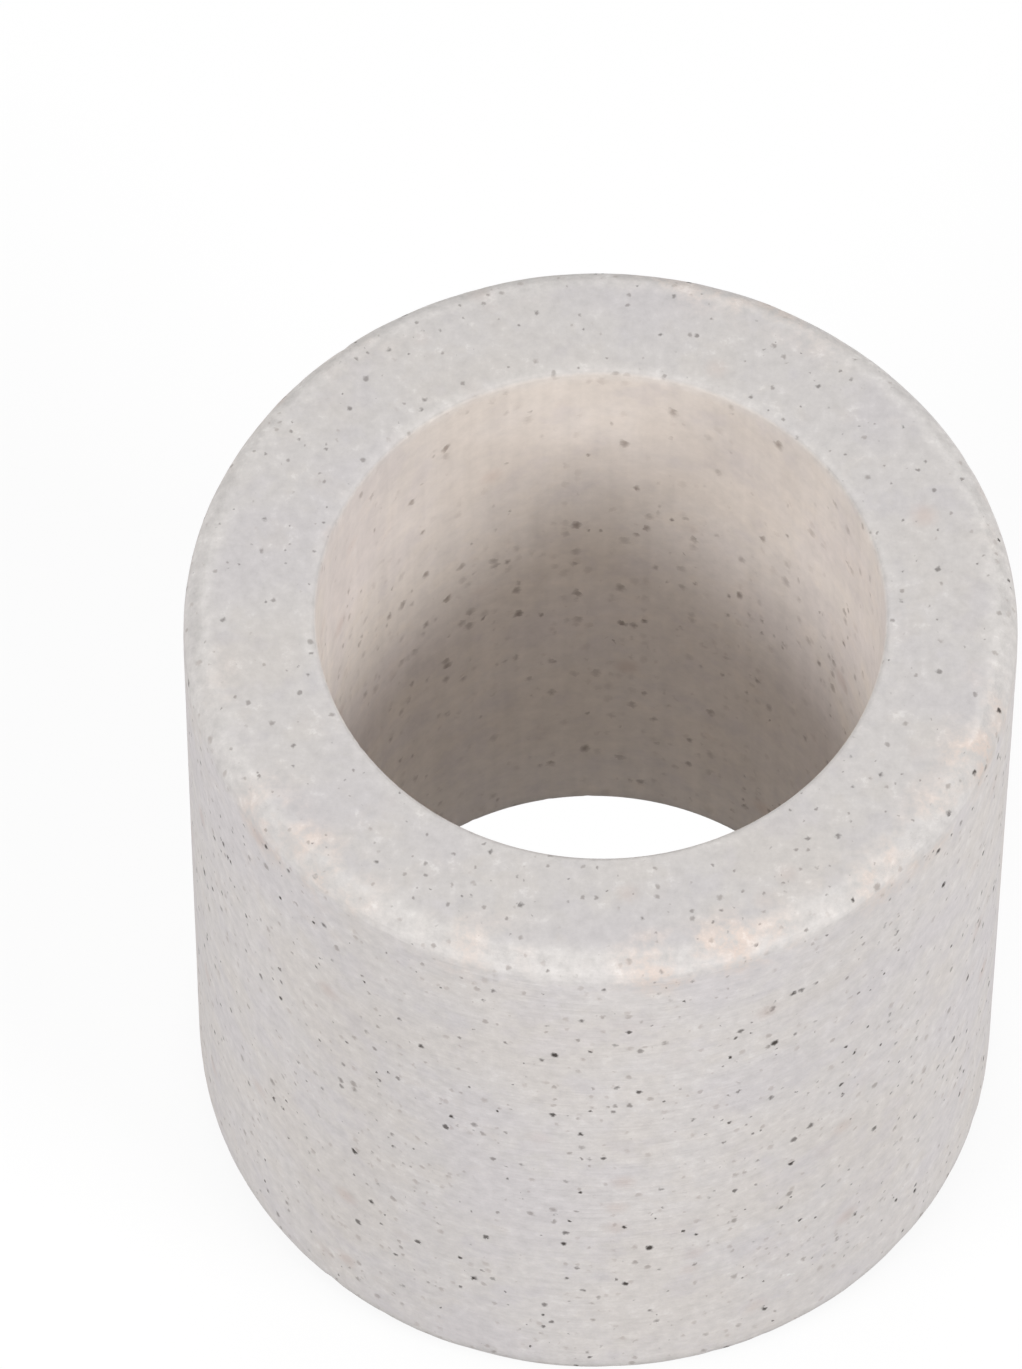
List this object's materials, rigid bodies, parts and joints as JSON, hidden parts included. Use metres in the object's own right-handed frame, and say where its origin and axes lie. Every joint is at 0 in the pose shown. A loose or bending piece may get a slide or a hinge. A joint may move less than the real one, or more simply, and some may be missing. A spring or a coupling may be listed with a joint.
{
  "type": "ceramic insulator tube",
  "caption": "Short plain ceramic sleeve with an open bore and rounded outer edges, slipped over a conductor, heater lead or bolt to insulate it from heat and electricity.",
  "frame": {"origin": "centre of the lower end face, on the bore axis", "axes": "+Z along the bore axis, from the lower end face to the upper one"},
  "size_m": [0.025, 0.025, 0.025],
  "materials": {
    "ceramic_body": "matte unglazed, pale warm grey with dark firing specks"
  },
  "bodies": {
    "root": {"ceramic_tube": "ceramic_body"}
  },
  "joints": []
}
